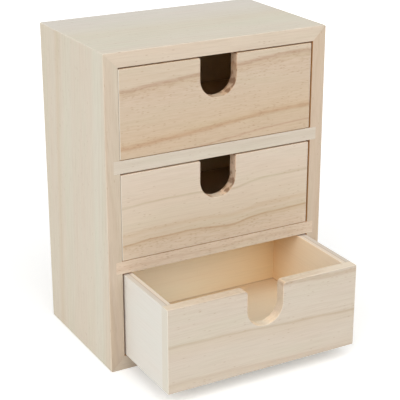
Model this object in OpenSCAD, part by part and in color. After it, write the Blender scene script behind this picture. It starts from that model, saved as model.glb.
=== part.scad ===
// Small desktop chest with three drawers, in plain unfinished wood.
// Four mitred boards make the case. Two dividers are housed in its sides, and a thin back
// panel lies in a rebate behind. Each drawer is a box of five pieces: a solid front with a
// half-round finger notch, two plywood sides, a plywood back and a floor that slides into
// grooves from behind. The drawers rest on the boards below them and have no runners.
// Origin: centre of the case's footprint, on the surface that it stands on. The front
// faces -Y and +Z is up.

/* [Case] */
// Width of the case over its sides
case_w = 150; // [110:1:220]
// Depth of the case, front edge to back
case_d = 92; // [60:1:150]
// Height of the case
case_h = 200; // [170:1:300]
// Thickness of the four outer boards
board_t = 9; // [6:0.5:12]
// Thickness of the two dividers
divider_t = 8; // [5:0.5:12]
// How far each divider end is let into a side
housing_d = 4; // [1:0.5:5]
// Thickness of the back panel
back_t = 2.5; // [2:0.5:6]
// How far the back panel is let into each outer board
rebate_w = 4; // [2:0.5:5]

/* [Drawers] */
// Thickness of a drawer front
front_t = 7; // [4:0.5:10]
// Thickness of a drawer's sides
side_t = 6; // [3:0.5:8]
// Thickness of a drawer's back
drawer_back_t = 4; // [3:0.5:8]
// Thickness of a drawer floor
floor_t = 3; // [2:0.5:5]
// Height of the floor's underside above the drawer's lower edge
floor_lift = 9.5; // [2:0.5:14]
// Depth of the groove that holds the floor
groove_d = 2; // [1:0.5:2.5]
// How far the bottom drawer stands open
bottom_open = 55; // [0:1:75]

/* [Finger notch] */
// Width of the notch
notch_w = 24.5; // [16:0.5:32]
// Depth of the notch below the front's upper edge
notch_depth = 25; // [18:0.5:30]
// Rounding of the two corners at the notch's mouth
mouth_r = 1; // [0.2:0.1:2]

/* [Clearances] */
// Air under a drawer, and beside it where it leans to one side
slide_gap = 0.3; // [0.2:0.05:0.5]
// Air above a drawer
top_gap = 1.1; // [0.5:0.1:3]
// Difference in width between a drawer and its bay
side_play = 1.6; // [1.2:0.1:4]
// Air behind a shut drawer
rear_gap = 1; // [0.5:0.5:4]
// Air round the back panel in its rebate
panel_gap = 0.2; // [0.1:0.1:0.5]

/* [Edges] */
// Width of the bevel that sanding leaves on the outer edges
arris = 0.5; // [0.2:0.1:1.5]

/* [Hidden] */
// The drawers are counted from the bottom
TIERS = ["bottom", "middle", "top"];
PIECES = ["front", "left_side", "right_side", "back", "floor"];
$fn = 48;

// Which way each drawer leans in its bay: 1 is right, -1 is left
LEAN = [1, -1, -1];
// How far each drawer stands open
OPEN = [bottom_open, 0, 0];
// A cut runs this far past the face that it leaves by
over = 1;

// Case
inner_w = case_w - 2 * board_t;
inner_h = case_h - 2 * board_t;
inner_d = case_d - back_t;
bay_h = (inner_h - (len(TIERS) - 1) * divider_t) / len(TIERS);
bay_pitch = bay_h + divider_t;

// Drawer
drawer_w = inner_w - side_play;
drawer_h = bay_h - slide_gap - top_gap;
drawer_d = inner_d - rear_gap;
drawer_inner_w = drawer_w - 2 * side_t;
lean_x = side_play / 2 - slide_gap;
floor_top = floor_lift + floor_t;
notch_r = notch_w / 2;
past_x = [-drawer_w / 2 - over, drawer_w / 2 + over];
past_y = [-over, drawer_d + over];
past_z = [-over, drawer_h + over];

// Colours of the bare wood
case_side_col = [0.85, 0.81, 0.75];
case_top_col = [0.88, 0.84, 0.77];
divider_col = [0.86, 0.78, 0.67];
front_col = [0.87, 0.77, 0.64];
ply_col = [0.91, 0.87, 0.80];
panel_col = [0.84, 0.73, 0.58];

// ---- Shapes that repeat ----

// A rectangle centred on the origin, with its corners cut off
module eased_rectangle(w, h) {
    polygon([
        for (corner = [[1, 1], [-1, 1], [-1, -1], [1, -1]])
            let (across = [w / 2 - arris, h / 2], along = [w / 2, h / 2 - arris])
                for (point = corner.x * corner.y > 0 ? [along, across] : [across, along])
                    [corner.x * point.x, corner.y * point.y]
    ]);
}

// A block centred on the origin, with all twelve edges bevelled as sanding leaves them
module sanded_block(w, d, h) {
    intersection() {
        linear_extrude(h, center = true)
            eased_rectangle(w, d);
        rotate([90, 0, 0])
            linear_extrude(d, center = true)
                eased_rectangle(w, h);
        rotate([90, 0, 90])
            linear_extrude(w, center = true)
                eased_rectangle(d, h);
    }
}

// ---- Case ----

// The seat of the back panel, cut into the rear edges of the four outer boards
module back_rebate() {
    translate([-inner_w / 2 - rebate_w, inner_d - case_d / 2, board_t - rebate_w])
        cube([inner_w + 2 * rebate_w, back_t + over, inner_h + 2 * rebate_w]);
}

// One outer board: the part of the sanded case block that lies over the outline in x and z.
// The outline's sloping ends are the mitres, and it runs past the block's outer face.
module outer_board(outline) {
    difference() {
        intersection() {
            translate([0, 0, case_h / 2])
                sanded_block(case_w, case_d, case_h);
            rotate([90, 0, 0])
                linear_extrude(case_d + 2 * over, center = true)
                    polygon(outline);
        }
        back_rebate();
    }
}

// The divider below a bay. It also cuts its own housings in the sides.
module divider_body(tier) {
    translate([-inner_w / 2 - housing_d, -case_d / 2, board_t + tier * bay_pitch - divider_t])
        cube([inner_w + 2 * housing_d, inner_d, divider_t]);
}

module top_board() {
    color(case_top_col)
        outer_board([
            [-case_w / 2 - over, case_h + over],
            [case_w / 2 + over, case_h + over],
            [inner_w / 2, case_h - board_t],
            [-inner_w / 2, case_h - board_t]
        ]);
}

module bottom_board() {
    color(case_top_col)
        outer_board([
            [-case_w / 2 - over, -over],
            [-inner_w / 2, board_t],
            [inner_w / 2, board_t],
            [case_w / 2 + over, -over]
        ]);
}

module left_side() {
    color(case_side_col)
        difference() {
            outer_board([
                [-case_w / 2 - over, -over],
                [-case_w / 2 - over, case_h + over],
                [-inner_w / 2, case_h - board_t],
                [-inner_w / 2, board_t]
            ]);
            divider_body(1);
            divider_body(2);
        }
}

module right_side() {
    color(case_side_col)
        mirror([1, 0, 0])
            left_side();
}

module lower_divider() {
    color(divider_col)
        divider_body(1);
}

module upper_divider() {
    color(divider_col)
        divider_body(2);
}

module back_panel() {
    panel_w = inner_w + 2 * rebate_w - 2 * panel_gap;
    panel_h = inner_h + 2 * rebate_w - 2 * panel_gap;
    color(panel_col)
        translate([-panel_w / 2, inner_d - case_d / 2, board_t - rebate_w + panel_gap])
            cube([panel_w, back_t, panel_h]);
}

// ---- Drawers ----
// A drawer is drawn with its front face at y = 0 and its lower edges at z = 0.

// Moves a drawer piece to its bay
module in_bay(tier) {
    translate([LEAN[tier] * lean_x, -case_d / 2 - OPEN[tier], board_t + tier * bay_pitch + slide_gap])
        children();
}

// The part of the drawer's sanded outer block that lies within three ranges. A range that
// isn't given reaches past the block on both sides, so it cuts nothing.
module drawer_slice(x = past_x, y = past_y, z = past_z) {
    intersection() {
        translate([0, drawer_d / 2, drawer_h / 2])
            sanded_block(drawer_w, drawer_d, drawer_h);
        translate([x[0], y[0], z[0]])
            cube([x[1] - x[0], y[1] - y[0], z[1] - z[0]]);
    }
}

// The floor, which also cuts the grooves that hold it
module floor_body() {
    translate([-drawer_inner_w / 2 - groove_d, front_t - groove_d, floor_lift])
        cube([drawer_inner_w + 2 * groove_d, drawer_d - front_t + groove_d, floor_t]);
}

// Outline of the finger notch in x and z, with its mouth on the x axis
module notch_outline() {
    translate([0, notch_r - notch_depth])
        circle(notch_r);
    translate([-notch_r, notch_r - notch_depth])
        square([notch_w, notch_depth - notch_r + over]);
    for (side = [-1, 1])
        difference() {
            translate([side * notch_r - mouth_r, -mouth_r])
                square([2 * mouth_r, mouth_r + over]);
            translate([side * (notch_r + mouth_r), -mouth_r])
                circle(mouth_r);
        }
}

module drawer_front(tier) {
    color(front_col)
        in_bay(tier)
            difference() {
                drawer_slice(y = [-over, front_t]);
                floor_body();
                translate([0, front_t / 2, drawer_h])
                    rotate([90, 0, 0])
                        linear_extrude(front_t + 2 * over, center = true)
                            notch_outline();
            }
}

// A side: hand is -1 for the left one and 1 for the right one
module drawer_side(tier, hand) {
    inner_x = hand * drawer_inner_w / 2;
    color(ply_col)
        in_bay(tier)
            difference() {
                drawer_slice(
                    x = hand < 0 ? [past_x[0], inner_x] : [inner_x, past_x[1]],
                    y = [front_t, past_y[1]]
                );
                floor_body();
            }
}

// The back stands on the floor, between the sides
module drawer_back(tier) {
    color(ply_col)
        in_bay(tier)
            drawer_slice(
                x = [-drawer_inner_w / 2, drawer_inner_w / 2],
                y = [drawer_d - drawer_back_t, past_y[1]],
                z = [floor_top, past_z[1]]
            );
}

module drawer_floor(tier) {
    color(panel_col)
        in_bay(tier)
            floor_body();
}

// ---- The chest ----

top_board();
bottom_board();
left_side();
right_side();
upper_divider();
lower_divider();
back_panel();
for (tier = [0:len(TIERS) - 1]) {
    name = str(TIERS[tier], "_drawer_");
    drawer_front(tier);
    drawer_side(tier, -1);
    drawer_side(tier, 1);
    drawer_back(tier);
    drawer_floor(tier);
}
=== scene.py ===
# %% [markdown]
# # A small chest of three drawers in bare paulownia
# The solid model of the chest is packed already, and this script dresses it. Every piece that is
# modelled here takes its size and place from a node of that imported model, so nothing is fitted
# by eye afterwards. The box of the whole model is kept, because the finished chest has to fill
# the same box.

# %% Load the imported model
import math

import bmesh
import bpy
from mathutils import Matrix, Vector


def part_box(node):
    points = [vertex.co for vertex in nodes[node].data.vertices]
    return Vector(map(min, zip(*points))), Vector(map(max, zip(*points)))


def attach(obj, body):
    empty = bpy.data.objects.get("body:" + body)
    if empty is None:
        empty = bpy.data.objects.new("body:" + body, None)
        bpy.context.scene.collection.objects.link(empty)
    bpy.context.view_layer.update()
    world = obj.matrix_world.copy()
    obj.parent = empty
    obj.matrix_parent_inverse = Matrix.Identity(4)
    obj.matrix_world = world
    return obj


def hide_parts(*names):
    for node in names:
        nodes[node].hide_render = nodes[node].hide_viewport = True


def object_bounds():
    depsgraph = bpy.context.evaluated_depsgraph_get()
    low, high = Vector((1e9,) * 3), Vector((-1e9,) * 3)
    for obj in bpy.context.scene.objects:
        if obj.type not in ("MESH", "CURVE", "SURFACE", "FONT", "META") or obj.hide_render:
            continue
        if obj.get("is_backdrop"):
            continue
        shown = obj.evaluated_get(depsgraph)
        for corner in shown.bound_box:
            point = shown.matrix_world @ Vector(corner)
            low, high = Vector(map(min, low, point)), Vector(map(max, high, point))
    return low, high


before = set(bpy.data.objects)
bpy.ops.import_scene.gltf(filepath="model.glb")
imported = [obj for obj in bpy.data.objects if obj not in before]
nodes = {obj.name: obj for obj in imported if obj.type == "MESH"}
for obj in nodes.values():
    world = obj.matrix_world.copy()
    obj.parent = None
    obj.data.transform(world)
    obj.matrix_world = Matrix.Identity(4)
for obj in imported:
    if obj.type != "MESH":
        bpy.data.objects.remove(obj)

cad_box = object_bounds()
print("loaded", len(nodes), "nodes, from", cad_box[0][:], "to", cad_box[1][:])

# %% [markdown]
# ## The camera
# The place and the lens come from a fit of the chest's corners in the photograph. A long lens
# from about 0.8 m away draws the chest with little perspective, as a product photographer does.
# The camera looks along the line that the fit gives, so it needs no target.

# %% Set up the camera
LENS = 109.7
TURN = math.radians(29.1)
HEIGHT = math.radians(20.96)
STAND = Vector((-0.3486, -0.6488, 0.3662))

to_camera = Vector((
    -math.sin(TURN) * math.cos(HEIGHT),
    -math.cos(TURN) * math.cos(HEIGHT),
    math.sin(HEIGHT),
))
camera_data = bpy.data.cameras.new("camera")
camera_data.lens = LENS
camera = bpy.data.objects.new("camera", camera_data)
camera.location = STAND
camera.rotation_euler = (-to_camera).to_track_quat("-Z", "Y").to_euler()
bpy.context.scene.collection.objects.link(camera)
bpy.context.scene.camera = camera
print("camera at", camera.location[:], "with a lens of", LENS, "mm")

# %% [markdown]
# ## A node helper and a colour helper
# Every material below is a small network of shader nodes. One helper adds a node with its
# settings and links, so that a material reads as a list of steps. Colours are written as on a
# paint chart, in sRGB hex, while shaders work in linear light, so a second helper converts them.

# %% Helpers for materials
def linear(hex_colour):
    """Turns an sRGB hex colour into linear red, green and blue, with alpha 1."""
    parts = [int(hex_colour[i:i + 2], 16) / 255 for i in (1, 3, 5)]
    return [c / 12.92 if c <= 0.04045 else ((c + 0.055) / 1.055) ** 2.4 for c in parts] + [1.0]


def add(tree, kind, inputs=None, stops=None, **settings):
    """Adds a node. An input takes a value, a socket or a node, for its first live output."""
    node = tree.nodes.new("ShaderNode" + kind)
    for key, value in settings.items():
        setattr(node, key, value)
    for key, value in (inputs or {}).items():
        if isinstance(value, bpy.types.Node):
            value = next(socket for socket in value.outputs if socket.enabled)
        if isinstance(value, bpy.types.NodeSocket):
            tree.links.new(value, node.inputs[key])
        else:
            node.inputs[key].default_value = value
    if stops:
        ramp = node.color_ramp
        while len(ramp.elements) < len(stops):
            ramp.elements.new(1.0)
        for element, (place, colour) in zip(ramp.elements, stops):
            element.position = place
            element.color = colour
    return node


def new_material(name):
    """Makes a material with an empty node tree."""
    material = bpy.data.materials.new(name)
    material.use_nodes = True
    material.node_tree.nodes.clear()
    return material


print("bare paulownia in linear light:", [round(c, 3) for c in linear("#d7c8b4")[:3]])

# %% [markdown]
# ## Floor
# The chest stands on white card. The card is lighter to the camera than to the lamps, more so
# away from the chest, which makes it white in the picture without throwing more light on the
# wood. The shadow of the chest still shows on it.

# %% Lay the floor
FLOOR_SIZE = 8.0
CARD = "#f4f4f3"
CARD_GLOW = (0.26, 0.6)
GLOW_REACH = (0.15, 0.9)

bpy.ops.object.select_all(action="DESELECT")
bpy.ops.mesh.primitive_plane_add(size=FLOOR_SIZE)
floor = bpy.context.object
floor.name = "floor"
card = new_material("white_card")
tree = card.node_tree
sight = add(tree, "LightPath")
place = add(tree, "TexCoord")
reach = add(tree, "VectorMath", {0: place.outputs["Object"]}, operation="LENGTH")
spread = add(tree, "MapRange", {0: reach, 1: GLOW_REACH[0], 2: GLOW_REACH[1],
                                3: CARD_GLOW[0], 4: CARD_GLOW[1]})
glow = add(tree, "Math", {0: sight.outputs["Is Camera Ray"], 1: spread}, operation="MULTIPLY")
diffuse = add(tree, "BsdfDiffuse", {"Color": linear(CARD)})
emission = add(tree, "Emission", {"Strength": glow})
both = add(tree, "AddShader", {0: diffuse, 1: emission})
add(tree, "OutputMaterial", {"Surface": both})
floor.data.materials.append(card)
floor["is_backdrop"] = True
print("laid a card of", FLOOR_SIZE, "m that glows more from", GLOW_REACH[0], "m outwards")

# %% [markdown]
# ## Light
# More than half of the light comes from a white room, as in a light tent. Three large soft lamps
# do the rest: one over the left shoulder of the camera, one from the front that reaches into the
# open drawer, and one from above. Each has a level and the direction that it shines from.
# Together they are about as bright as a colour needs to render the way it is written.

# %% Light the room and hang the lamps
ROOM_LEVEL = 0.55
LAMP_SIZE = 2.4
LAMP_DISTANCE = 3.2
LAMP_AIM = Vector((0, 0, 0.1))
LAMPS = {
    "side_lamp": (0.41, (-0.75, -0.45, 0.50)),
    "fill_lamp": (0.27, (0.25, -0.85, 0.42)),
    "top_lamp": (0.235, (-0.10, -0.50, 0.86)),
}

world = bpy.data.worlds.new("white_room")
world.use_nodes = True
world.node_tree.nodes.clear()
bpy.context.scene.world = world
tree = world.node_tree
sight = add(tree, "LightPath")
seen = add(tree, "MapRange", {0: sight.outputs["Is Camera Ray"], 3: ROOM_LEVEL, 4: 1.0})
room = add(tree, "Background", {"Color": [1, 1, 1, 1], "Strength": seen})
add(tree, "OutputWorld", {"Surface": room})

for name, (level, direction) in LAMPS.items():
    towards = Vector(direction).normalized()
    lamp_data = bpy.data.lights.new(name, "AREA")
    lamp_data.shape = "DISK"
    lamp_data.size = LAMP_SIZE
    lamp_data.energy = level * (math.pi * LAMP_DISTANCE) ** 2
    lamp = bpy.data.objects.new(name, lamp_data)
    lamp.location = towards * LAMP_DISTANCE + LAMP_AIM
    lamp.rotation_euler = towards.to_track_quat("Z", "Y").to_euler()
    bpy.context.scene.collection.objects.link(lamp)
    print(name, "of", round(lamp_data.energy, 2), "W at", [round(v, 2) for v in lamp.location])

bpy.context.scene.view_settings.view_transform = "Standard"

# %% [markdown]
# ## Sizes from the model
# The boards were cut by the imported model, so their thickness is read from its nodes and isn't
# typed in again. Only what a node's box can't tell is named here: the finger notch, and the air
# round the back panel.

# %% Read the sizes
MM = 0.001
NOTCH_W = 24.5 * MM
NOTCH_DEPTH = 25 * MM
PANEL_GAP = 0.2 * MM
TIERS = ("bottom", "middle", "top")

OUTER_BOARDS = ("top_board", "bottom_board", "left_side", "right_side")
case_low = Vector(min(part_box(node)[0][axis] for node in OUTER_BOARDS) for axis in range(3))
case_high = Vector(max(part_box(node)[1][axis] for node in OUTER_BOARDS) for axis in range(3))
board_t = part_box("top_board")[1].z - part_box("top_board")[0].z
panel_low, panel_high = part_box("back_panel")
inner_low = case_low + Vector((board_t, 0, board_t))
inner_high = case_high - Vector((board_t, 0, board_t))
print("case", [round(v / MM, 2) for v in case_high - case_low], "mm, boards", round(board_t / MM, 2))

# %% [markdown]
# ## A blank
# A joiner makes this chest with four moves: square a blank, sand its edges, saw it at a plane and
# rout a seat in it. Each move is one Blender operator here. A blank is a cube that is drawn at
# its size and place. Both are then applied, so its object stays at the origin.

# %% Square a blank
def pick_only(piece):
    """Selects one object and makes it active."""
    bpy.ops.object.select_all(action="DESELECT")
    piece.select_set(True)
    bpy.context.view_layer.objects.active = piece


def blank(name, low, high):
    """Squares a block between two corners."""
    low, high = Vector(low), Vector(high)
    bpy.ops.object.select_all(action="DESELECT")
    bpy.ops.mesh.primitive_cube_add(size=1, location=(low + high) / 2, scale=high - low)
    bpy.ops.object.transform_apply(location=True, rotation=False, scale=True)
    piece = bpy.context.object
    piece.name = name
    piece.data.name = name
    return piece


print("a blank for the case would be", [round(v / MM) for v in case_high - case_low], "mm")

# %% [markdown]
# ## Sanding
# Sandpaper turns a sharp edge into a small round one, and only where the hand takes it. So the
# bevel operator gets the edges that a function wants, by where their middle lies and which way
# they run. At the end of the work the round edges are shaded smooth and the faces stay flat.

# %% Sand and polish
SHARP = math.radians(40)


def sand(piece, width, rounds, wanted):
    """Rounds the sharp edges whose middle and direction the function wanted accepts."""
    pick_only(piece)
    bpy.ops.object.mode_set(mode="EDIT")
    bpy.ops.mesh.select_mode(type="EDGE")
    bpy.ops.mesh.select_all(action="DESELECT")
    mesh = bmesh.from_edit_mesh(piece.data)
    for edge in mesh.edges:
        sharp = len(edge.link_faces) == 2 and edge.calc_face_angle() > SHARP
        ends = [corner.co for corner in edge.verts]
        run = (ends[1] - ends[0]).normalized()
        edge.select = sharp and wanted((ends[0] + ends[1]) / 2, Vector(map(abs, run)))
    bmesh.update_edit_mesh(piece.data)
    bpy.ops.mesh.bevel(offset=width, segments=rounds, affect="EDGES")
    bpy.ops.object.mode_set(mode="OBJECT")


def polish(piece):
    """Shades the rounded edges smooth and keeps the faces flat."""
    pick_only(piece)
    bpy.ops.object.shade_smooth_by_angle(angle=SHARP)
    flat = piece.modifiers.new("flat", "WEIGHTED_NORMAL")
    flat.keep_sharp = True
    bpy.ops.object.modifier_apply(modifier=flat.name)
    print("made", piece.name, "with", len(piece.data.polygons), "faces")


print("an edge is sharp from", round(math.degrees(SHARP)), "degrees")

# %% [markdown]
# ## Saw and router
# The saw is a bisect: it cuts at a plane, drops one side and fills the cut. The router takes the
# shape of another blank out of a piece. A cutter runs a little past every face that it leaves by,
# because two faces in one plane would make the cut uncertain.

# %% Saw and rout
OVER = 2 * MM


def saw(piece, point, away):
    """Cuts at a plane and drops what lies on the side that away points to."""
    pick_only(piece)
    bpy.ops.object.mode_set(mode="EDIT")
    bpy.ops.mesh.select_all(action="SELECT")
    bpy.ops.mesh.bisect(plane_co=point, plane_no=away, use_fill=True, clear_outer=True)
    bpy.ops.object.mode_set(mode="OBJECT")


def rout(piece, cutter):
    """Takes the cutter's shape out of the piece and throws the cutter away."""
    pick_only(piece)
    cut = piece.modifiers.new("rout", "BOOLEAN")
    cut.operation = "DIFFERENCE"
    cut.solver = "EXACT"
    cut.object = cutter
    bpy.ops.object.modifier_apply(modifier=cut.name)
    bpy.data.objects.remove(cutter)


print("cutters run", round(OVER / MM), "mm past a face")

# %% [markdown]
# ## The case
# Four boards meet in mitres, so no end grain shows at the corners. Each board starts as the
# blank of the whole case with its edges sanded. Three saw cuts leave one board of it: one along
# its inner face and one at each mitre. That way the rounding runs over the joints without a
# step, as it does when a glued case is sanded. The back edges get a rebate for the panel, and the
# sides get a seat for each divider's end.

# %% Make the four outer boards
# A rounding is its width and its number of facets
SANDED_LONG = (1.0 * MM, 5)
SANDED_FACE = (0.6 * MM, 3)
ALONG = 0.99
HAIR = 0.01 * MM


def seat(node, in_front=0.0, behind=0.0):
    """A cutter of a node's own size that may run on in front of it or behind it."""
    low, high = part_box(node)
    return blank("seat", low - Vector((0, in_front, 0)), high + Vector((0, behind, 0)))


def near(value, *targets):
    """True if the value is one of the targets, to a hair."""
    return any(abs(value - target) < HAIR for target in targets)


def at_case_face(middle, run):
    """The edges round the front and the back of the case."""
    return near(middle.y, case_low.y, case_high.y)


def outer_board(name, corners, housed):
    """Saws one board out of the case's blank. corners are its two inner corners in x and z."""
    piece = blank(name, case_low, case_high)
    sand(piece, *SANDED_LONG, lambda middle, run: run.y > ALONG)
    sand(piece, *SANDED_FACE, at_case_face)
    (x0, z0), (x1, z1) = corners
    inner_edge = Vector((x1 - x0, 0, z1 - z0)).normalized()
    outwards = Vector((-inner_edge.z, 0, inner_edge.x))
    saw(piece, (x0, 0, z0), -outwards)
    saw(piece, (x0, 0, z0), -inner_edge - outwards)
    saw(piece, (x1, 0, z1), inner_edge - outwards)
    seat_low = Vector((panel_low.x - PANEL_GAP, panel_low.y, panel_low.z - PANEL_GAP))
    seat_high = Vector((panel_high.x + PANEL_GAP, panel_high.y + OVER, panel_high.z + PANEL_GAP))
    rout(piece, blank("seat", seat_low, seat_high))
    for divider in housed:
        rout(piece, seat(divider, in_front=OVER))
    polish(piece)
    return piece


DIVIDERS = ("lower_divider", "upper_divider")
left, right = inner_low.x, inner_high.x
bottom, top = inner_low.z, inner_high.z
boards = {
    "top_board": outer_board("top_board_sanded", [(left, top), (right, top)], ()),
    "bottom_board": outer_board("bottom_board_sanded", [(right, bottom), (left, bottom)], ()),
    "left_side": outer_board("left_side_sanded", [(left, bottom), (left, top)], DIVIDERS),
    "right_side": outer_board("right_side_sanded", [(right, top), (right, bottom)], DIVIDERS),
}

# %% [markdown]
# ## The dividers
# Each divider is a board that is glued into its seats, so it only shows its front edge. The two
# long corners of that edge are broken with one stroke of sandpaper, which draws a fine line
# where the divider meets the sides.

# %% Make the dividers
DIVIDER_EASE = (0.25 * MM, 2)
for name in DIVIDERS:
    piece = blank(name + "_eased", *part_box(name))
    sand(piece, *DIVIDER_EASE, lambda middle, run: near(middle.y, case_low.y) and run.x > ALONG)
    polish(piece)
    boards[name] = piece

# %% [markdown]
# ## The drawer fronts
# A front is a solid board with a notch for one finger. On the real one the notch is bored and
# sawn, then its rim is sanded. The cutter for it is a bar whose two lower edges are rounded by
# half its width, which gives the half round, and the bevel operator then rounds the rim. The two
# corners at the mouth of the open drawer's notch have been sanded more than the others.

# %% Make the drawer fronts
FRONT_EASE = (0.4 * MM, 3)
MOUTH_EASE = {"bottom": (2.2 * MM, 5), "middle": (0.6 * MM, 5), "top": (0.6 * MM, 5)}
# The two lower roundings leave a hair between them, so that they never meet
NOTCH_ROUND = (NOTCH_W / 2 - HAIR / 2, 24)


def notch_cutter(front_low, front_high):
    """A bar as wide as the notch, with its lower edges rounded into a half circle."""
    centre = (front_low.x + front_high.x) / 2
    low = (centre - NOTCH_W / 2, front_low.y - OVER, front_high.z - NOTCH_DEPTH)
    high = (centre + NOTCH_W / 2, front_high.y + OVER, front_high.z + OVER)
    bar = blank("bar", low, high)
    sand(bar, *NOTCH_ROUND, lambda middle, run: run.y > ALONG and near(middle.z, low[2]))
    return bar


def drawer_front(tier):
    """Makes one front with its notch, its rounded edges and the groove for the floor."""
    low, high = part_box(tier + "_drawer_front")
    centre = (low.x + high.x) / 2
    piece = blank(tier + "_front_notched", low, high)
    rout(piece, notch_cutter(low, high))
    mouth = (centre - NOTCH_W / 2, centre + NOTCH_W / 2)
    sand(piece, *MOUTH_EASE[tier],
         lambda middle, run: run.y > ALONG and near(middle.x, *mouth) and near(middle.z, high.z))

    def meets_the_box(middle):
        return near(middle.y, high.y) and (near(middle.x, low.x, high.x) or near(middle.z, low.z))

    sand(piece, *FRONT_EASE, lambda middle, run: not meets_the_box(middle))
    rout(piece, seat(tier + "_drawer_floor", behind=OVER))
    polish(piece)
    return piece


fronts = {tier: drawer_front(tier) for tier in TIERS}

# %% [markdown]
# ## Marks for the plywood
# The drawer boxes are thin plywood, which shows its layers on every upper edge. A pattern on the
# object's coordinates can't know where a layer starts, because each drawer leans to one side of
# its bay. So each piece carries three attributes that the plywood material reads: its own depth,
# from 0 on the face outside the drawer to 1 on the face inside, the height above the drawer's
# floor, where a seam of painted shade runs, and how far along the piece a point lies, which sets
# a painted shade that deepens towards one end.

# %% Mark the layers
PLY_MARKS = ("ply_depth", "above_floor", "painted_shade_along")


def mark_plies(piece, tier, axis, outside, inside):
    """Writes each point's depth in the plywood, height above the floor and place along it."""
    low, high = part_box(tier + "_drawer_floor")
    along = 1 - axis
    marks = piece.data.attributes
    for name in PLY_MARKS:
        marks.new(name, "FLOAT", "POINT")
    depth, height, painted_shade_along = (marks[name].data for name in PLY_MARKS)
    for number, corner in enumerate(piece.data.vertices):
        depth[number].value = (corner.co[axis] - outside) / (inside - outside)
        height[number].value = corner.co.z - high.z
        painted_shade_along[number].value = (corner.co[along] - low[along]) / (high[along] - low[along])


print("plywood carries", ", ".join(PLY_MARKS))

# %% [markdown]
# ## The drawer boxes
# A drawer box is two sides and a back behind the solid front. The sides run from the front to the
# rear and have a groove for the floor, and the back stands between them on the floor. Each side
# is sanded all round except where it is glued to the front, which leaves that joint tight. The
# back is only sanded along its upper edge.

# %% Make the drawer sides and backs
SIDE_EASE = (0.45 * MM, 3)


def drawer_side(tier, hand):
    """One plywood side, left square where it meets the front."""
    node = tier + "_drawer_" + hand
    low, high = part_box(node)
    outside, inside = (low.x, high.x) if hand == "left_side" else (high.x, low.x)
    piece = blank(node + "_ply", low, high)
    sand(piece, *SIDE_EASE, lambda middle, run: not near(middle.y, low.y))
    rout(piece, seat(tier + "_drawer_floor", in_front=OVER, behind=OVER))
    mark_plies(piece, tier, 0, outside, inside)
    polish(piece)
    return piece


def drawer_back(tier):
    """The plywood back, sanded only along its upper edge."""
    node = tier + "_drawer_back"
    low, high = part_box(node)
    piece = blank(node + "_ply", low, high)
    sand(piece, *SIDE_EASE, lambda middle, run: near(middle.z, high.z) and run.x > ALONG)
    mark_plies(piece, tier, 1, high.y, low.y)
    polish(piece)
    return piece


boxes = {}
for tier in TIERS:
    for hand in ("left_side", "right_side"):
        boxes[tier + "_drawer_" + hand] = drawer_side(tier, hand)
    boxes[tier + "_drawer_back"] = drawer_back(tier)

# %% [markdown]
# ## Two tools for wood
# Two things come back in every wood here. The grain draws each pattern out along the board, so
# one helper stretches a noise to a length and a width in real size. And bare wood is matt, with a
# relief of some hundredths of a millimetre, so another helper ends every wood in that way.

# %% Helpers for wood
AXES = "XYZ"
MIXED = {"data_type": "RGBA"}
TINTED = {"data_type": "RGBA", "blend_type": "MULTIPLY"}
SEED_STEPS = (1.0, 0.7, 1.3)
WOOD_IOR = 1.5
WOOD_SHINE = 0.35


def lit(tint, light):
    """A tint in linear light, made lighter or darker."""
    return [channel * light for channel in linear(tint)]


def drawn_out(tree, place, size, detail, seed=0.0, kind="TexNoise"):
    """A pattern whose grains have that size along the x, y and z of a place."""
    spread = add(tree, "VectorMath", {
        0: place,
        1: [1 / length for length in size],
        2: [seed * step for step in SEED_STEPS],
    }, operation="MULTIPLY_ADD")
    return add(tree, kind, {"Vector": spread, "Scale": 1.0, **detail})


def bare_wood(tree, colour, height, relief, strength, rough):
    """Ends a material as bare wood with a fine relief."""
    bump = add(tree, "Bump", {"Height": height, "Distance": relief, "Strength": strength})
    surface = add(tree, "BsdfPrincipled", {
        "Base Color": colour,
        "Roughness": rough,
        "IOR": WOOD_IOR,
        "Specular IOR Level": WOOD_SHINE,
        "Normal": bump,
    })
    add(tree, "OutputMaterial", {"Surface": surface})


print("a bright tint in linear light:", [round(c, 3) for c in lit("#fffffc", 1.37)[:3]])

# %% [markdown]
# ## Paulownia: where a point lies on its board
# Paulownia is a pale, light wood with wide growth rings. Its material has to know how a point
# lies in the wood, so the first step lays every board the same way: x along the grain, y across
# it and z out of its outer face. Then it turns the board a little. The lines of a side rise along
# it, and in a side or a level board the rings lean, so its edge shows them wider than its face.

# %% Lay a board along its grain
middle_z = (case_low.z + case_high.z) / 2
OUTER_FACE = {"X": (0.0, case_high.x), "Y": (0.0, 0.0), "Z": (middle_z, case_high.z - middle_z)}


def lay_board(tree, parts, grain, across, start, rise, lean):
    """Places on the board, from the parts of a place on the object. start is in mm."""
    through = (set(AXES) - {grain, across}).pop()
    centre, face = OUTER_FACE[through]
    off_centre = add(tree, "Math", {0: parts.outputs[through], 1: centre}, operation="SUBTRACT")
    distance = add(tree, "Math", {0: off_centre}, operation="ABSOLUTE")
    buried = add(tree, "Math", {0: distance, 1: face}, operation="SUBTRACT")
    log = add(tree, "CombineXYZ", {0: parts.outputs[grain], 1: parts.outputs[across], 2: buried})
    return add(tree, "Mapping", {
        "Vector": log,
        "Location": (0, -start * MM, 0),
        "Rotation": (math.radians(lean), 0, -math.radians(rise)),
        "Scale": (1, 1 / math.cos(math.radians(lean)), 1),
    })


print("outer faces lie", {axis: round(face / MM, 1) for axis, (_, face) in OUTER_FACE.items()},
      "mm from the middle")

# %% [markdown]
# ## Paulownia: how the lines run
# Each pattern has a length along the grain, a width across it, in millimetres, and a seed. A
# line on a board is never straight: it wanders slowly, ripples, and frays where it meets the
# fibres. So the place of a point among the bands is its place across the board, moved by three
# of the patterns. The lines of a front also climb or fall from end to end, which a ramp adds.

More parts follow.
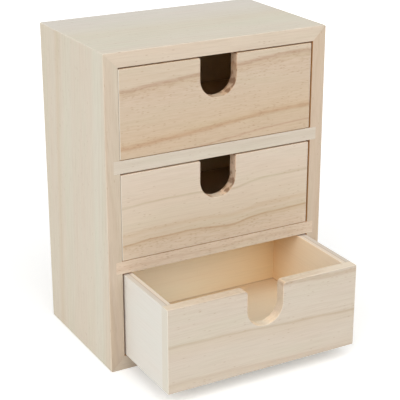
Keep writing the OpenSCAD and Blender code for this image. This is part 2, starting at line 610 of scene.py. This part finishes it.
# %% Follow the lines of a board
PATTERNS = {
    "wander": (55, 22, 3.0, "TexNoise", {"Detail": 1.0}),
    "ripple": (16, 3.0, 11.0, "TexNoise", {"Detail": 2.0}),
    "fibre": (22, 0.55, 31.0, "TexNoise", {"Detail": 3.0, "Roughness": 0.6}),
    "dash": (7, 1.1, 17.0, "TexNoise", {"Detail": 2.0}),
    "silk": (70, 9, 23.0, "TexNoise", {"Detail": 2.0}),
    "pore": (3.4, 0.7, 47.0, "TexVoronoi", {"Randomness": 1.0}),
    "cluster": (26, 7, 61.0, "TexNoise", {"Detail": 2.0}),
    "scorch": (3.5, 3.5, 71.0, "TexNoise", {"Detail": 2.0}),
}
WANDER_REACH = 4 * MM
RIPPLE_REACH = 1.2 * MM
FRAY_REACH = 1.3 * MM


def weave(tree, board, plank):
    """All patterns of a board. plank is its place in the log, which shifts their seeds."""
    woven = {}
    for name, (length, width, seed, kind, detail) in PATTERNS.items():
        size = (length * MM, width * MM, width * MM)
        woven[name] = drawn_out(tree, board, size, detail, seed + plank, kind)
    return woven


def follow_lines(tree, board, woven, wander, course):
    """Where a point lies among the bands, in metres. course is (mm along, mm up) in steps."""
    on_board = add(tree, "SeparateXYZ", {0: board})
    reaches = {"wander": wander * WANDER_REACH, "ripple": RIPPLE_REACH, "fibre": FRAY_REACH}
    half_way = sum(reaches.values()) / 2
    here = add(tree, "Math", {0: on_board.outputs["Y"], 1: half_way}, operation="SUBTRACT")
    for name, reach in reaches.items():
        here = add(tree, "Math", {0: woven[name], 1: reach, 2: here}, operation="MULTIPLY_ADD")
    if course:
        begin, end, top = course[0][0], course[-1][0], max(up for _, up in course)
        along = add(tree, "MapRange", {0: on_board.outputs["X"], 1: begin * MM, 2: end * MM})
        stops = [((mm - begin) / (end - begin), [up / top] * 3 + [1]) for mm, up in course]
        climb = add(tree, "ValToRGB", {0: along}, stops=stops)
        climb.color_ramp.interpolation = "CARDINAL"
        here = add(tree, "Math", {0: climb, 1: -top * MM, 2: here}, operation="MULTIPLY_ADD")
    return here


print("patterns of a board:", ", ".join(PATTERNS))

# %% [markdown]
# ## Paulownia: tone
# A sanded board shows soft bands along its length and a few browner lines where a ring ends. The
# bands are listed in millimetres across the board, as one would mark them with a pencil, and a
# ramp reads the tone between them. Its alpha says how many pores lie open there. Fine rings come
# between the bands, each darkening slowly before it ends. A line in which pores crowd is broken
# into browner and paler lengths. Silk leans to pink or to green in slow patches, and fibres lie
# over all of it.

# %% Find the tone of a place among the bands
RING = 4.2 * MM
RINGS_SHOW = (0.35, 0.65)
LATE_WOOD = [(0.0, [1, 1, 1, 1]), (0.55, [0.99, 0.985, 0.98, 1]), (0.86, [0.96, 0.945, 0.93, 1]),
             (1.0, [1, 1, 1, 1])]
DASHES = [(0.36, [1.04, 1.055, 1.07, 1]), (0.5, [1, 1, 1, 1]), (0.64, [0.9, 0.86, 0.81, 1])]
SHEEN = [(0.3, [1.0, 0.984, 0.978, 1]), (0.5, [1, 1, 1, 1]), (0.7, [0.982, 1.0, 0.984, 1])]
THREADS = [(0.3, [0.93, 0.915, 0.9, 1]), (0.5, [1, 1, 1, 1]), (0.7, [1.03, 1.035, 1.04, 1])]


def band_tone(tree, here, bands, woven):
    """The colour of the wood, and its share of open pores."""
    first, last = bands[0][0], bands[-1][0]
    stops = [((mm - first) / (last - first), linear(c)[:3] + [share]) for mm, c, share in bands]
    tone = add(tree, "MapRange", {0: here, 1: first * MM, 2: last * MM})
    ramp = add(tree, "ValToRGB", {0: tone}, stops=stops)
    share = ramp.outputs["Alpha"]

    turns = add(tree, "Math", {0: here, 1: RING}, operation="DIVIDE")
    saw_tooth = add(tree, "Math", {0: turns}, operation="FRACT")
    late = add(tree, "ValToRGB", {0: saw_tooth}, stops=LATE_WOOD)
    ringed = add(tree, "Mix", {0: 1.0, 6: ramp, 7: late}, **TINTED)
    patchy = add(tree, "MapRange", {0: woven["wander"], 1: RINGS_SHOW[0], 2: RINGS_SHOW[1]})
    colour = add(tree, "Mix", {0: patchy, 6: ramp, 7: ringed}, **MIXED)

    broken = add(tree, "ValToRGB", {0: woven["dash"]}, stops=DASHES)
    dashed = add(tree, "Mix", {0: 1.0, 6: colour, 7: broken}, **TINTED)
    colour = add(tree, "Mix", {0: share, 6: colour, 7: dashed}, **MIXED)
    for name, stops in (("silk", SHEEN), ("fibre", THREADS)):
        film = add(tree, "ValToRGB", {0: woven[name]}, stops=stops)
        colour = add(tree, "Mix", {0: 1.0, 6: colour, 7: film}, **TINTED)
    return colour, share


print("late wood is at its darkest", round(LATE_WOOD[2][0] * RING / MM, 1), "mm into a ring")

# %% [markdown]
# ## Paulownia: pores
# The saw opens the pores, which show as short dark dashes along the grain. The board is divided
# into small cells, each with a number of its own. A cell holds a pore if its number is below the
# share of its band, and the share rises and falls in clusters.

# %% Open the pores
CLUSTERS = (0.35, 0.65)
CROWDING = (0.1, 1.9)
PORE_HEART = (0.16, 0.36)


def open_pores(tree, share, woven):
    """1 in the heart of a pore and 0 in the wood between."""
    number = add(tree, "SeparateColor", {0: woven["pore"].outputs["Color"]})
    crowd = add(tree, "MapRange", {0: woven["cluster"], 1: CLUSTERS[0], 2: CLUSTERS[1],
                                   3: CROWDING[0], 4: CROWDING[1]})
    limit = add(tree, "Math", {0: share, 1: crowd}, operation="MULTIPLY")
    there = add(tree, "Math", {0: number, 1: limit}, operation="LESS_THAN")
    heart = add(tree, "MapRange", {0: woven["pore"].outputs["Distance"], 1: PORE_HEART[0],
                                   2: PORE_HEART[1], 3: 1.0, 4: 0.0})
    return add(tree, "Math", {0: there, 1: heart}, operation="MULTIPLY")


print("a pore is up to", PATTERNS["pore"][0], "mm long")

# %% [markdown]
# ## Paulownia: faces by what was done to them
# End grain drinks light, so the ends of a board are greyer. A notch also shows end grain on its
# wall, freshly cut. The hot cutter browned it in places, most of all in the round, where it dwelt.
# So this step asks which way a face is turned, and then whether it is at the tip of the board.

# %% Tint the faces that were cut across the grain
TURNED = (0.5, 0.9)
END_FACE = 60 * MM
END_GRAIN = "#d9d2c4"
SCORCH_BROWN = "#7d5a41"
BURNS = (0.56, 0.72)
DWELT = [(0.05, [0, 0, 0, 1]), (0.3, [1, 1, 1, 1]), (0.8, [1, 1, 1, 1]), (0.97, [0.35, 0.35, 0.35, 1])]


def tint_cuts(tree, colour, facing, parts, grain, across, woven, sawn, cut_turn, scorch, dwell):
    """Faces cut across the grain: a notch's wall in the middle of a board, end grain at its tips."""
    endwise = add(tree, "Math", {0: facing.outputs[grain]}, operation="ABSOLUTE")
    end = add(tree, "MapRange", {0: endwise, 1: cut_turn[0], 2: cut_turn[1]})
    round_part = add(tree, "ValToRGB", {0: facing.outputs[across]}, stops=DWELT)
    hotter = add(tree, "Math", {0: round_part, 1: dwell, 2: woven["scorch"]}, operation="MULTIPLY_ADD")
    burnt = add(tree, "MapRange", {0: hotter, 1: BURNS[0], 2: BURNS[1], 3: 0.0, 4: scorch})
    fresh = add(tree, "Mix", {0: 1.0, 6: colour, 7: lit(*sawn)}, **TINTED)
    cut = add(tree, "Mix", {0: burnt, 6: fresh, 7: linear(SCORCH_BROWN)}, **MIXED)
    from_middle = add(tree, "Math", {0: parts.outputs[grain]}, operation="ABSOLUTE")
    tip = add(tree, "Math", {0: from_middle, 1: END_FACE}, operation="GREATER_THAN")
    end_grain = add(tree, "Mix", {0: tip, 6: cut, 7: linear(END_GRAIN)}, **MIXED)
    return add(tree, "Mix", {0: end, 6: colour, 7: end_grain}, **MIXED)


print("end grain from", round(END_FACE / MM), "mm from a board's middle")

# %% [markdown]
# ## Paulownia: edges and bays
# The edge of a board shows another side of its rings and has a tint of its own, and a front's edge
# is also made paler, as painted light. The faces inside the bays get a warm, darker tint, as painted
# shade for the shade and warm bounce light among the boards. The bays are a box in the middle of the
# case, so this step only has to know whether a place lies within it.

# %% Tint the edges and the bays
# The painted shade of the bays starts this far behind the case's front.
BAY_SHADE_SETBACK = 0.4 * MM
BAY_SLACK = 0.05 * MM
BAY_REACH = [
    ("X", 0.0, inner_high.x + BAY_SLACK),
    ("Z", middle_z, inner_high.z - middle_z + BAY_SLACK),
]


def tint_and_light_edge(tree, colour, facing, axis, tint, light):
    """The edge of the board that faces along an axis: its own tint, and painted light where it is made
    lighter.
    """
    edgewise = add(tree, "Math", {0: facing.outputs[axis]}, operation="ABSOLUTE")
    side = add(tree, "MapRange", {0: edgewise, 1: TURNED[0], 2: TURNED[1]})
    other = add(tree, "Mix", {0: 1.0, 6: colour, 7: lit(tint, light)}, **TINTED)
    return add(tree, "Mix", {0: side, 6: colour, 7: other}, **MIXED)


def paint_bay_shade(tree, colour, parts, inner):
    """Paints a warm, darker shade on the faces inside the bays."""
    front = case_low.y + BAY_SHADE_SETBACK
    inside = add(tree, "Math", {0: parts.outputs["Y"], 1: front}, operation="GREATER_THAN")
    for axis, middle, reach in BAY_REACH:
        within = add(tree, "Math", {0: parts.outputs[axis], 1: middle, 2: reach}, operation="COMPARE")
        inside = add(tree, "Math", {0: inside, 1: within}, operation="MULTIPLY")
    shaded_colour = add(tree, "Mix", {0: 1.0, 6: colour, 7: linear(inner)}, **TINTED)
    return add(tree, "Mix", {0: inside, 6: colour, 7: shaded_colour}, **MIXED)


print("bays reach", [round(reach / MM, 2) for _, _, reach in BAY_REACH], "mm from their middle")

# %% [markdown]
# ## Paulownia: the whole board
# The steps follow the life of the board: it is laid, its lines run, it has its tone, the saw
# opens its pores, and tools leave their marks on its faces. Last comes the relief: raised fibres
# and open pores, some hundredths of a millimetre deep.

# %% Write the paulownia material
PORE_BROWN = "#96714f"
PORE_STAIN = 0.4
FIBRE_RAISED = 0.5
BOARD_RELIEF = 0.05 * MM
BOARD_BUMP = 0.6
BOARD_ROUGH = 0.72


def paulownia(name, grain, across, start, bands, rise=0.0, lean=0.0, course=(), wander=2.0,
              edge=None, inner=None, sawn=("#f9e6d8", 1.0), cut_turn=TURNED, scorch=0.0,
              dwell=0.0, plank=0.0):
    """Bare sanded paulownia. bands are (mm from start, colour, share of open pores). edge is
    (the axis it faces, tint, how much lighter), where a lightness above 1 is painted light, and sawn
    is (tint, how much lighter). inner is the warm painted shade of the faces inside the bays. cut_turn
    says how far a face has to turn endwise to count as cut across the grain, and dwell how much
    more the cutter burnt in a round."""
    material = new_material(name)
    tree = material.node_tree
    place = add(tree, "TexCoord")
    parts = add(tree, "SeparateXYZ", {0: place.outputs["Object"]})
    facing = add(tree, "SeparateXYZ", {0: place.outputs["Normal"]})
    board = lay_board(tree, parts, grain, across, start, rise, lean)
    woven = weave(tree, board, plank)
    here = follow_lines(tree, board, woven, wander, course)
    colour, share = band_tone(tree, here, bands, woven)

    pore = open_pores(tree, share, woven)
    stain = add(tree, "Math", {0: pore, 1: PORE_STAIN}, operation="MULTIPLY")
    colour = add(tree, "Mix", {0: stain, 6: colour, 7: linear(PORE_BROWN)}, **MIXED)

    colour = tint_cuts(tree, colour, facing, parts, grain, across, woven, sawn, cut_turn, scorch, dwell)
    if edge:
        colour = tint_and_light_edge(tree, colour, facing, *edge)
    if inner:
        colour = paint_bay_shade(tree, colour, parts, inner)

    raised = add(tree, "Math", {0: woven["fibre"], 1: FIBRE_RAISED}, operation="MULTIPLY")
    height = add(tree, "Math", {0: raised, 1: pore}, operation="SUBTRACT")
    bare_wood(tree, colour, height, BOARD_RELIEF, BOARD_BUMP, BOARD_ROUGH)
    print("mixed", name, "with", len(bands), "bands")
    return material


# %% [markdown]
# ## The wood of the case
# All boards come from the same pale wood, but no two show the same bands. The sides are marked
# from their front edge to the back, the top board likewise, and the dividers from the floor up,
# so that each of the two has its own stretch of the list. The upper one is greyer.

# %% Mix the boards of the case
# Painted shade: a warm, darker tint on the faces inside the bays.
BAY_PAINTED_SHADE = "#f6c592"
PLANK_STEP = 5.0
case_front = case_low.y / MM
SIDE_BANDS = {
    "left_side": [
        (-8, "#d6cab8", 0.05), (0, "#d5c8b4", 0.05), (1.6, "#d3c5b1", 0.05), (2.6, "#d7cab6", 0.03),
        (3.8, "#d2c6b5", 0.05), (5.0, "#d7cbb9", 0.03), (8, "#d4c9b7", 0.04), (14, "#d5cebe", 0.02),
        (20, "#d5cebe", 0.02), (25, "#d5cab9", 0.04), (52, "#d5cab9", 0.05), (57, "#d4ccbb", 0.03),
        (64, "#d4ccba", 0.03), (69, "#d5cab9", 0.04), (74, "#d2c4af", 0.08), (76, "#d2c4af", 0.08),
        (79, "#d5cab9", 0.04), (92, "#d5cab8", 0.05), (102, "#d5cab8", 0.05)],
    "right_side": [
        (-8, "#d5c7b1", 0.05), (0, "#d5c6af", 0.05), (1.8, "#d2c2ab", 0.06), (3.2, "#d6c8b2", 0.03),
        (4.6, "#d1c1ac", 0.06), (7, "#d5c8b5", 0.04), (17, "#d3c3ad", 0.07), (19, "#d6cbba", 0.03),
        (38, "#d5cebe", 0.02), (46, "#d5cab9", 0.04), (61, "#d3c6b2", 0.07), (66, "#d5cab9", 0.04),
        (92, "#d5cab8", 0.05), (102, "#d5cab8", 0.05)],
}
side_woods = {
    side: paulownia("paulownia_" + side, "Z", "Y", case_front, bands, rise=-2.6, lean=35, wander=0.8,
                    edge=("Y", "#e8e0db", 1.0), inner=BAY_PAINTED_SHADE, plank=PLANK_STEP * number)
    for number, (side, bands) in enumerate(SIDE_BANDS.items())}
board_wood = paulownia(
    "paulownia_level", "X", "Y", case_front,
    [(0, "#dad0bf", 0.03), (9, "#d9d1c1", 0.03), (24, "#d8d1c0", 0.04), (44, "#d8d0be", 0.05),
     (58, "#d9d2c4", 0.04), (74, "#dad3c8", 0.04), (92, "#dad4ca", 0.03)],
    lean=20, edge=("Y", "#eae2dd", 1.0), inner=BAY_PAINTED_SHADE)
divider_wood = paulownia(
    "paulownia_divider", "X", "Z", board_t / MM,
    [(0, "#cfbca6", 0.05), (55, "#d3c2ad", 0.2), (57.5, "#d0bca7", 0.5), (59, "#c9b39c", 0.6),
     (60.5, "#d1bda8", 0.5), (63, "#cfbba5", 0.4), (118, "#c7bcac", 0.04), (121, "#c8bdae", 0.04),
     (123, "#c3b7a7", 0.06), (127, "#c7bcad", 0.03), (190, "#c6bbad", 0.04)],
    wander=1.2, inner=BAY_PAINTED_SHADE)

# %% [markdown]
# ## The wood of the fronts
# A front shows the most figure, and each has its own: brown lines that pores fill at the top and
# at the bottom, a pale middle one with a wavy line, a quiet lowest one. The bands are marked from
# its lower edge up. A sawn board seldom follows the log, so each front also has a course that its
# lines keep to, from its left end to its right one.

# %% Mark the fronts
FRONT_COURSE = {
    "top": [(-65, 1.4), (-58, 1.6), (-37, 3.5), (-21, 4.6), (0, 6.4), (21, 8.5), (39, 9.9), (65, 10.6)],
    "middle": [(-65, 0), (-50, 1.3), (-35, 2), (-20, 2), (-5, 1), (10, 0), (20, 1.5), (30, 3), (45, 3.5),
               (65, 4.2)],
    "bottom": [(-65, 5), (-48, 4.5), (-25, 4.3), (-5, 3), (15, 2), (35, 1.5), (50, 0.5), (65, 0)],
}
FRONT_BANDS = {
    "top": [
        (-12, "#c0ac93", 0.25), (-5.4, "#c0ab92", 0.3), (-4.5, "#b59981", 0.5), (-3.7, "#c0ab92", 0.3),
        (3.2, "#c0aa91", 0.35), (4.6, "#b5987b", 0.6), (5.4, "#b6997c", 0.6), (7.2, "#c0a98e", 0.4),
        (10, "#c1ac93", 0.3), (24, "#c1ae98", 0.2), (33, "#c1ae99", 0.45), (37.6, "#bca78f", 0.85),
        (39.1, "#b29a83", 0.75), (40, "#b59d87", 0.6), (41, "#c3b29d", 0.15), (60, "#c3b39e", 0.1)],
    "middle": [
        (-5, "#ccb9a3", 0.4), (4, "#cab7a1", 0.5), (8.0, "#c4af96", 0.6), (9.0, "#b39779", 0.4),
        (9.9, "#c6b49d", 0.2), (13, "#c8b7a1", 0.15), (15.2, "#c4b098", 0.2), (18, "#c9b9a4", 0.12),
        (24, "#cabaa6", 0.08), (31.4, "#cabaa7", 0.08), (32.6, "#bdad96", 0.12), (33.8, "#cabaa7", 0.08),
        (48, "#cbbcab", 0.06), (60, "#cbbcab", 0.06)],
    "bottom": [
        (-6, "#c6b9a9", 0.06), (-0.8, "#c3b5a3", 0.1), (0.8, "#bfaf9d", 0.15), (2.4, "#c6baaa", 0.05),
        (15, "#c6baab", 0.05), (23.4, "#c4b6a4", 0.08), (24.9, "#baaa96", 0.12), (26.6, "#c6baaa", 0.05),
        (40, "#c6baab", 0.05), (49, "#c6b9a9", 0.2), (50.2, "#bbaa97", 0.5), (52, "#baa996", 0.5),
        (53.2, "#c6baab", 0.06), (60, "#c6baab", 0.05)],
}
print("fronts' lines climb by", {tier: max(up for _, up in FRONT_COURSE[tier]) for tier in TIERS}, "mm")

# %% [markdown]
# ## The fronts' edges and notches
# The narrow edge of a front is painted far paler than its face, as painted light. The wall of its
# notch was cut last. On the two upper fronts the cutter ran hot and left brown marks, on the lowest
# one it hardly did. Each wall has a tint, the strength of its marks, and how many more of them lie
# in the round.

# %% Mix the fronts
# Painted light: a front's upper and lower edges are made 1.37 times lighter.
FRONT_EDGE_PAINTED_LIGHT = ("Z", "#fdfefb", 1.37)
NOTCH_TURN = (0.12, 0.4)
NOTCH_WALL = {"top": ("#fbede3", 1.06), "middle": ("#fbede3", 1.14), "bottom": ("#fdf6ee", 1.18)}
NOTCH_SCORCH = {"top": 0.8, "middle": 0.8, "bottom": 0.1}
NOTCH_DWELL = {"top": 0.22, "middle": 0.2, "bottom": 0.05}


def front_wood(tier):
    """The wood of one drawer front."""
    low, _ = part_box(tier + "_drawer_front")
    return paulownia("paulownia_" + tier + "_front", "X", "Z", low.z / MM, FRONT_BANDS[tier],
                     course=FRONT_COURSE[tier], wander=0.5, edge=FRONT_EDGE_PAINTED_LIGHT,
                     sawn=NOTCH_WALL[tier], cut_turn=NOTCH_TURN, scorch=NOTCH_SCORCH[tier],
                     dwell=NOTCH_DWELL[tier])


front_woods = {tier: front_wood(tier) for tier in TIERS}

# %% [markdown]
# ## Plywood: its layers
# The drawer sides and backs are pale three-ply. On an edge the outer half is greyer than the inner
# one, with a hairline of glue between them, which a ramp on the depth attribute draws. A thin brown
# seam of painted shade runs where the inner face meets the floor.

# %% Show the layers
# Painted shade: a thin brown seam along the foot of the inner face.
OUTER_PLY, INNER_PLY, GLUE, CREASE_SHADE = "#d2c9bd", "#dfd3c3", "#b7a186", "#94704e"
INNER_FACE = 0.96
CREASE_SHADE_SHARE = 0.48
CREASE_SHADE_FADES = (0.2 * MM, 0.9 * MM)
UNDER_FLOOR = -0.3 * MM


def show_layers(tree, colour, outside):
    """Keeps the colour on the inner face, with a seam of painted shade at its foot, and shows the layers
    elsewhere.
    """
    depth = add(tree, "Attribute", attribute_name="ply_depth").outputs["Fac"]
    layers = add(tree, "ValToRGB", {0: depth}, stops=[
        (0.0, linear(outside)), (0.03, linear(outside)), (0.07, linear(OUTER_PLY)),
        (0.48, linear(OUTER_PLY)), (0.54, linear(GLUE)), (0.6, linear(INNER_PLY))])
    inner_face = add(tree, "Math", {0: depth, 1: INNER_FACE}, operation="GREATER_THAN")
    colour = add(tree, "Mix", {0: inner_face, 6: layers, 7: colour}, **MIXED)
    height = add(tree, "Attribute", attribute_name="above_floor").outputs["Fac"]
    low_down = add(tree, "MapRange", {0: height, 1: CREASE_SHADE_FADES[0], 2: CREASE_SHADE_FADES[1],
                                      3: CREASE_SHADE_SHARE, 4: 0.0})
    above = add(tree, "Math", {0: height, 1: UNDER_FLOOR}, operation="GREATER_THAN")
    strip = add(tree, "Math", {0: low_down, 1: above}, operation="MULTIPLY")
    seam = add(tree, "Math", {0: strip, 1: inner_face}, operation="MULTIPLY")
    return add(tree, "Mix", {0: seam, 6: colour, 7: linear(CREASE_SHADE)}, **MIXED)


print("the seam fades out", round(CREASE_SHADE_FADES[1] / MM, 1), "mm above the floor")

# %% [markdown]
# ## Plywood: its veneer
# The faces have almost no figure. Inside a drawer the veneer is pale near the front, and a painted
# shade warms and darkens it towards the rear right corner, so its colour runs between two tones.
# The floors and the back panel are thin plywood of which only the faces show, and a floor's painted
# shade follows its length.

# %% Write the plywood material
VENEER = (30 * MM, 0.8 * MM)
CLOUD = (60 * MM, 14 * MM)
PLY_DETAIL = {"Detail": 3.0}
FINE = [(0.3, [0.975, 0.968, 0.958, 1]), (0.5, [1, 1, 1, 1]), (0.7, [1.01, 1.01, 1.012, 1])]
SOFT = [(0.3, [1.0, 0.98, 0.965, 1]), (0.7, [0.985, 1.0, 0.99, 1])]
# Painted shade: how the veneer darkens and warms along the piece.
PAINTED_SHADE_CURVE = 1.7
PLY_RELIEF = 0.02 * MM
PLY_BUMP = 0.4
PLY_ROUGH = 0.7
open_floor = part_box("bottom_drawer_floor")


def plywood(name, grain, pale, painted_shade_tone, outside=None):
    """Bare sanded plywood, from a pale tone to a painted shade tone by its place. It has layers if it
    has an outside tone.
    """
    material = new_material(name)
    tree = material.node_tree
    place = add(tree, "TexCoord").outputs["Object"]
    if outside:
        painted_shade_along = add(tree, "Attribute", attribute_name="painted_shade_along").outputs["Fac"]
    else:
        parts = add(tree, "SeparateXYZ", {0: place})
        painted_shade_along = add(tree, "MapRange", {0: parts.outputs["Y"], 1: open_floor[0].y, 2: open_floor[1].y})
    slowly = add(tree, "Math", {0: painted_shade_along, 1: PAINTED_SHADE_CURVE}, operation="POWER")
    colour = add(tree, "Mix", {0: slowly, 6: linear(pale), 7: linear(painted_shade_tone)}, **MIXED)
    if outside:
        colour = show_layers(tree, colour, outside)

    veneer, cloud = (
        drawn_out(tree, place, [length if axis == grain else width for axis in AXES], PLY_DETAIL)
        for length, width in (VENEER, CLOUD))
    for pattern, stops in ((veneer, FINE), (cloud, SOFT)):
        film = add(tree, "ValToRGB", {0: pattern}, stops=stops)
        colour = add(tree, "Mix", {0: 1.0, 6: colour, 7: film}, **TINTED)
    bare_wood(tree, colour, veneer, PLY_RELIEF, PLY_BUMP, PLY_ROUGH)
    print("mixed", name)
    return material


# The second tone of each plywood is its painted shade.
side_ply = plywood("poplar_ply_sides", "Y", "#efe1cc", "#f2d0a2", outside="#dfdad2")
back_ply = plywood("poplar_ply_backs", "X", "#fdf6e2", "#f6d8aa", outside="#dfdad2")
floor_ply = plywood("basswood_ply_floors", "X", "#eee5cf", "#ebd4b2")
panel_ply = plywood("basswood_ply_panel", "X", "#e9ddc9", "#e9ddc9")

# %% [markdown]
# ## Put the finish on and hang the pieces on their bodies
# Each new piece gets its wood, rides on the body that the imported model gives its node, and stands
# for that node from here on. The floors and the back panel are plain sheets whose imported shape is
# right already, so they stay as they are and only change their material.

# %% Dress every piece
finishes = {
    "top_board": (board_wood, "case_board"),
    "bottom_board": (board_wood, "case_board"),
    "left_side": (side_woods["left_side"], "case_side"),
    "right_side": (side_woods["right_side"], "case_side"),
    "lower_divider": (divider_wood, "divider"),
    "upper_divider": (divider_wood, "divider"),
}


def hang(piece, material, node, body):
    """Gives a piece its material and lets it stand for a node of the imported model."""
    piece.data.materials.clear()
    piece.data.materials.append(material)
    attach(piece, body)
    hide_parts(node)


for node, (material, slot) in finishes.items():
    hang(boards[node], material, node, "case")
for tier in TIERS:
    body = tier + "_drawer"
    hang(fronts[tier], front_woods[tier], body + "_front", body)
    for hand in ("left_side", "right_side"):
        hang(boxes[body + "_" + hand], side_ply, body + "_" + hand, body)
    hang(boxes[body + "_back"], back_ply, body + "_back", body)
sheets = {"back_panel": panel_ply, **{tier + "_drawer_floor": floor_ply for tier in TIERS}}
for node, sheet in sheets.items():
    for material_slot in nodes[node].material_slots:
        material_slot.material = sheet

# %% [markdown]
# ## Check the size and finish
# The finished chest has to fill the same box as the imported model. How far each corner of its
# box lies from the imported one is printed in millimetres.

# %% Compare the boxes and finish
new_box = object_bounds()
for name, old, new in zip(("low", "high"), cad_box, new_box):
    print(name, [round((b - a) / MM, 3) for a, b in zip(old, new)], "mm off the packed model")
